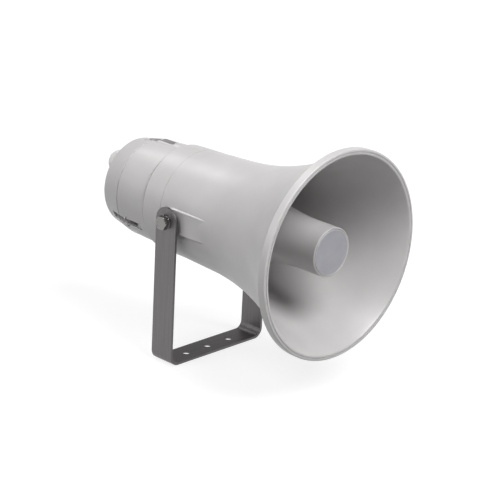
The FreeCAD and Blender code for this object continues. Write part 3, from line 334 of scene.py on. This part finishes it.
# The pivot's pad stands on the barrel, round at its rear and square at its front, with its root in the wall.
def addPad(mesh, side, s):
    block = bmesh.new()
    bmesh.ops.create_circle(block, cap_ends=True, radius=s["half"] * mm, segments=s["steps"])
    bmesh.ops.rotate(block, verts=block.verts, matrix=Matrix.Rotation(math.radians(90), 3, "Y"))
    for vert in [vert for vert in block.verts if vert.co.y < -s["match"]]:
        vert.co.y = -s["front"] * mm
    bmesh.ops.translate(block, verts=block.verts, vec=(side * s["face"] * mm, 0, pivot.z))
    grown = bmesh.ops.extrude_face_region(block, geom=block.faces[:])["geom"]
    root = [item for item in grown if isinstance(item, bmesh.types.BMVert)]
    for vert in root:  # the wall widens forwards, so the root is shallower there
        share = max(-vert.co.y / mm, 0) / s["front"]
        vert.co.x -= side * (s["rootRear"] * (1 - share) + s["rootFront"] * share) * mm
    slopeStart = -s["half"] * mm * s["slopeStart"]
    for vert in [vert for vert in block.verts if vert not in root and vert.co.y < slopeStart]:
        vert.co.x -= side * s["slope"] * mm  # the face runs in a little towards its front
    bmesh.ops.recalc_face_normals(block, faces=block.faces)
    outer = [edge for edge in block.edges if not any(vert in root for vert in edge.verts)]
    bmesh.ops.bevel(block, geom=outer, offset=s["rounding"] * mm, segments=s["roundingSegments"],
                    profile=0.5, affect="EDGES", material=-1)
    data = bpy.data.meshes.new("pad")
    block.to_mesh(data)
    block.free()
    mesh.from_mesh(data)
    bpy.data.meshes.remove(data)


def makeBell(s):
    rear, gapFloor = s["rear"], s["barrel"] - s["gapDepth"]
    mouldRear, mouldFront = s["mouldLineEdges"]
    neckFront, neck = s["neck"]
    grooveFloor = s["rimFront"] - s["grooveDepth"]
    mesh = turned([
        (rear, s["barrel"] - s["rearEdge"]),
        (rear + s["gapRear"], s["barrel"] - s["gapEdge"]),
        (rear + s["gapRear"], gapFloor),
        (rear + s["gapFront"], gapFloor),
        (rear + s["gapFront"], s["barrel"], s["gapRounding"]),
        (s["mouldLine"] - s["mouldLineTop"], mouldRear),
        (s["mouldLine"] - s["mouldLineFoot"], s["mouldLineFloor"]),
        (s["mouldLine"] + s["mouldLineFoot"], s["mouldLineFloor"]),
        (s["mouldLine"] + s["mouldLineTop"], mouldFront),
        s["swell"],
        s["neck"],
        *bend(s["neck"], (s["rimRear"], s["lip"]), s["flareBend"], s["bendSteps"]),
        (s["rimRear"], s["lip"], s["rimRootRounding"]),
        (s["rimRear"], s["rim"], s["rimRearRounding"]),
        (s["rimFront"], s["rim"], s["rimFrontRounding"]),
        (s["rimFront"], s["groove"] + s["grooveTop"], s["grooveRounding"]),
        (grooveFloor, s["groove"] + s["grooveFoot"]),
        (grooveFloor, s["groove"] - s["grooveFoot"]),
        (s["rimFront"], s["groove"] - s["grooveTop"], s["grooveRounding"]),
        (s["rimFront"], s["lip"], s["lipRounding"]),
        *bend((s["rimFront"], s["lip"]), (neckFront, neck - s["wall"]), s["innerBend"], s["bendSteps"]),
        (neckFront, neck - s["wall"]),
        (s["bulkheadFront"], s["bulkheadRoot"]),
        (s["bulkheadFront"], s["bulkheadOpening"]),
        (s["bulkheadRear"], s["bulkheadOpening"]),
        (s["bulkheadRear"], s["chamber"]),
        (s["chamberRear"], s["chamber"]),
        (s["chamberRear"], s["rearOpening"]),
        (rear, s["rearOpening"]),
    ])
    for side in (-1, 1):
        addPad(mesh, side, pad)
    finishPiece("bell_shell", mesh, "horn", "greyAbs", ["horn_bell"])


makeBell(bell)
print("bell made")

# The tube in the mouth closes the reflector. Its nose has a bead, a groove and a ring round the disc.
tube = {
    "rear": 53,
    "skirt": 39.2,
    "skirtRounding": 0.6,
    "wall": 2.5,
    "turn": 134,
    "swell": 0.1,
    "front": 158.3,
    "radius": 24.7,
    "bendRadius": 238,
    "bendSteps": 24,
    "nose": 23.1,
    "noseStand": 2.2,
    "noseWall": 3.4,
    "beadStand": 1.9,
    "beadOverhang": 0.05,
    "beadInnerRounding": 0.75,
    "beadOuterRounding": 0.85,
    "grooveDepth": 0.6,
    "grooveWidth": 0.35,
    "ringInnerRounding": 0.15,
    "ringOuterRounding": 0.3,
    "disc": 21.8,
    "discPlay": 0.05,
    "discDepth": 0.8,
}


def makeTube(s):
    noseFront = s["front"] + s["noseStand"]
    beadFront = s["front"] + s["beadStand"]
    noseRear = noseFront - s["noseWall"]
    discSeat = noseFront - s["discDepth"]
    discEdge = s["disc"] + s["discPlay"]
    groove = s["front"] - s["grooveDepth"]
    turn = (s["turn"], s["radius"] + s["swell"])
    innerTurn = (s["turn"], s["radius"] + s["swell"] - s["wall"])
    mesh = turned([
        (discSeat, 0),
        (discSeat, discEdge),
        (noseFront, discEdge, s["ringInnerRounding"]),
        (noseFront, s["nose"] - s["grooveWidth"], s["ringOuterRounding"]),
        (groove, s["nose"] - s["grooveWidth"]),
        (groove, s["nose"]),
        (beadFront, s["nose"] - s["beadOverhang"], s["beadInnerRounding"]),
        (beadFront, s["radius"], s["beadOuterRounding"]),
        turn,
        *bend(turn, (s["rear"], s["skirt"]), s["bendRadius"], s["bendSteps"]),
        (s["rear"], s["skirt"], s["skirtRounding"]),
        (s["rear"], s["skirt"] - s["wall"], s["skirtRounding"]),
        *bend((s["rear"], s["skirt"] - s["wall"]), innerTurn, s["bendRadius"], s["bendSteps"]),
        innerTurn,
        (noseRear, s["radius"] - s["wall"]),
        (noseRear, 0),
    ], closed=False)
    finishPiece("tube_shell", mesh, "horn", "greyAbs", ["reflector_tube"])


makeTube(tube)
print("centre tube made")

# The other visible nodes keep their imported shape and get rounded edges: body, slot and rounding in mm.
roundings = {
    "u_bracket": ("bracket", "stainless", 0.5),
    "rear_housing": ("horn", "housing_abs", 0.3),
    "rear_cap": ("horn", "housing_abs", 0.3),
    "gland_nut": ("horn", "gland_nylon", 0.3),
    "gland_body": ("horn", "gland_nylon", 0.25),
    "pivot_bolt_left": ("horn", "bolt_steel", 0.2),
    "pivot_bolt_right": ("horn", "bolt_steel", 0.2),
    "spring_washer_left": ("horn", "bolt_steel", 0.2),
    "spring_washer_right": ("horn", "bolt_steel", 0.2),
}
softening = {
    "segments": 2,
    "sharpAngle": 30,
    "flatAngle": 1,
    "weld": 2e-6,
    "stray": 0.5,  # in roundings: a corner that strays further goes back to the surface
}


def softened(node, width, s):
    mesh = bmesh.new()
    mesh.from_mesh(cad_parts[node].data)
    bmesh.ops.remove_doubles(mesh, verts=mesh.verts, dist=s["weld"])
    bmesh.ops.dissolve_limit(mesh, angle_limit=math.radians(s["flatAngle"]), verts=mesh.verts,
                             edges=mesh.edges)
    joined = [edge for edge in mesh.edges if len(edge.link_faces) == 2]
    sharp = [edge for edge in joined if edge.calc_face_angle() > math.radians(s["sharpAngle"])]
    surface = BVHTree.FromBMesh(mesh)
    bmesh.ops.bevel(mesh, geom=sharp, offset=width * mm, segments=s["segments"], profile=0.5,
                    affect="EDGES", material=-1, clamp_overlap=True)
    for vert in mesh.verts:
        nearest, normal, index, gap = surface.find_nearest(vert.co)
        if gap > s["stray"] * width * mm:
            vert.co = nearest
    bmesh.ops.remove_doubles(mesh, verts=mesh.verts, dist=s["weld"])
    return mesh


# The joint of housing and cap shows as a thin dark line: rear and front are its two sides.
capSeam = {
    "rear": -88.0,
    "front": -87.5,
    "skin": 49.8,
    "depth": 0.9,
}


def cutSeam(mesh, s):
    for forward in (s["rear"], s["front"]):
        bmesh.ops.bisect_plane(mesh, geom=mesh.verts[:] + mesh.edges[:] + mesh.faces[:],
                               plane_co=(0, pivot.y - forward * mm, 0), plane_no=(0, 1, 0))
    strip = []
    for face in mesh.faces:
        middle = face.calc_center_median()
        onSkin = math.hypot(middle.x, middle.z - pivot.z) > s["skin"] * mm
        if onSkin and s["rear"] < (pivot.y - middle.y) / mm < s["front"]:
            strip.append(face)
    grown = bmesh.ops.extrude_face_region(mesh, geom=strip)["geom"]
    for vert in [item for item in grown if isinstance(item, bmesh.types.BMVert)]:
        out = Vector((vert.co.x, 0, vert.co.z - pivot.z))
        vert.co -= out.normalized() * s["depth"] * mm
    bmesh.ops.delete(mesh, geom=strip, context="FACES_ONLY")


# Cold forming leaves a raised ring on a bolt's head and a slight dish inside it.
boltHead = {
    "ring": 0.80,  # the width inside the ring, as a share of the head's face
    "slope": 0.94,  # the width of the dish's floor, as a share of that
    "dish": 0.3,
    "outward": 0.99,  # the head's face looks this straight along the bolt
}


def dishHead(mesh, s):
    facing = [face for face in mesh.faces if abs(face.normal.x) > s["outward"]]
    head = max(facing, key=lambda face: abs(face.calc_center_median().x))
    centre = head.calc_center_median()
    for share, sink in ((s["ring"], 0), (s["slope"], s["dish"])):
        grown = bmesh.ops.extrude_face_region(mesh, geom=[head])["geom"]
        bmesh.ops.delete(mesh, geom=[head], context="FACES_ONLY")
        head = next(item for item in grown if isinstance(item, bmesh.types.BMFace))
        inner = [item for item in grown if isinstance(item, bmesh.types.BMVert)]
        bmesh.ops.scale(mesh, vec=(1, share, share), space=Matrix.Translation(-centre), verts=inner)
        bmesh.ops.translate(mesh, vec=(-math.copysign(sink * mm, centre.x), 0, 0), verts=inner)


for node, (body, slot, width) in roundings.items():
    mesh = softened(node, width, softening)
    if node == "rear_housing":
        cutSeam(mesh, capSeam)
    if node.startswith("pivot_bolt"):
        dishHead(mesh, boltHead)
    finishPiece(f"{node}_rounded", mesh, body, nodeFinish[node], [node])
print("edges rounded:", len(roundings))

# A white floor in a white room. The floor glows less near the horn, where the lamps light it and the shadow
# falls. The camera sees the room plain white, and reflections see its ceiling darker. Lengths are in metres.
stage = {
    "half": 40,
    "drop": 0.0004,
    "paper": "#8E8E8E",
    "roughness": 0.9,
    "glow": {"From Min": 0.4, "From Max": 2.5, "To Min": 0.8, "To Max": 1.0},
    "ceiling": {"From Min": 0.05, "From Max": 0.55, "To Min": 1.0, "To Max": 0.3},
}
white = (1, 1, 1, 1)


def makeFloor(s):
    mesh = bmesh.new()
    bmesh.ops.create_grid(mesh, x_segments=1, y_segments=1, size=s["half"])
    bmesh.ops.translate(mesh, verts=mesh.verts, vec=(0, 0, -s["drop"]))
    data = bpy.data.meshes.new("floor")
    mesh.to_mesh(data)
    mesh.free()
    floor = bpy.data.objects.new("floor", data)
    bpy.context.scene.collection.objects.link(floor)
    paper = bpy.data.materials.new("whitePaper")
    paper.use_nodes = True
    tree = paper.node_tree
    shader = tree.nodes["Principled BSDF"]
    shader.inputs["Base Color"].default_value = toLinear(s["paper"])
    shader.inputs["Roughness"].default_value = s["roughness"]
    shader.inputs["Emission Color"].default_value = white
    seen = addNode(tree, "LightPath", {}).outputs
    direct = addNode(tree, "Math", {0: seen["Is Camera Ray"], 1: seen["Is Glossy Ray"]}, operation="MAXIMUM")
    through = addNode(tree, "Math", {0: direct.outputs[0], 1: seen["Is Transmission Ray"]},
                      operation="MAXIMUM")
    place = addNode(tree, "TexCoord", {}).outputs["Object"]
    far = addNode(tree, "VectorMath", {"Vector": place}, operation="LENGTH").outputs["Value"]
    paler = addNode(tree, "MapRange", {"Value": far, **s["glow"]}).outputs["Result"]
    glow = addNode(tree, "Math", {0: through.outputs[0], 1: paler}, operation="MULTIPLY")
    tree.links.new(glow.outputs[0], shader.inputs["Emission Strength"])
    data.materials.append(paper)


def makeRoom(s):
    world = bpy.data.worlds.new("studio")
    bpy.context.scene.world = world
    world.use_nodes = True
    tree = world.node_tree
    sky = tree.nodes["Background"]
    sky.inputs["Color"].default_value = white
    seen = addNode(tree, "LightPath", {}).outputs
    mirrored = addNode(tree, "Math", {0: seen["Is Glossy Ray"], 1: seen["Is Transmission Ray"]},
                       operation="MAXIMUM")
    heading = addNode(tree, "TexCoord", {}).outputs["Generated"]
    height = addNode(tree, "SeparateXYZ", {"Vector": heading}).outputs["Z"]
    ceiling = addNode(tree, "MapRange", {"Value": height, **s["ceiling"]}).outputs["Result"]
    walls = addNode(tree, "Math", {0: mirrored.outputs[0], 1: ceiling}, operation="MULTIPLY")
    level = addNode(tree, "Math", {0: walls.outputs[0], 1: seen["Is Camera Ray"]}, operation="MAXIMUM")
    tree.links.new(level.outputs[0], sky.inputs["Strength"])


# Round area lamps: place and diameter in metres, power in watts. Each points at the horn's middle.
lamps = {
    "front": ((0, -1.4, 1.8), 1.3, 50),
    "side": ((-1.4, 0, 1.8), 1.2, 22),
    "top": ((0, 0, 2.3), 1.2, 3),
    "back": ((0.17, 1.66, 2.1), 1.0, 8),
    "rear": ((-1.7, 1.1, 0.9), 1.0, 5),
}
hornMiddle = Vector((0, -0.03, 0.15))


def makeLamp(name, place, size, power):
    data = bpy.data.lights.new(name, "AREA")
    data.shape = "DISK"
    data.size = size
    data.energy = power
    lamp = bpy.data.objects.new(name, data)
    turn = (hornMiddle - Vector(place)).to_track_quat("-Z", "Y")
    lamp.matrix_world = Matrix.Translation(place) @ turn.to_matrix().to_4x4()
    bpy.context.scene.collection.objects.link(lamp)


makeFloor(stage)
makeRoom(stage)
for name, (place, size, power) in lamps.items():
    makeLamp(name, place, size, power)
bpy.context.scene.view_settings.view_transform = "Standard"
print("stage and lamps placed")
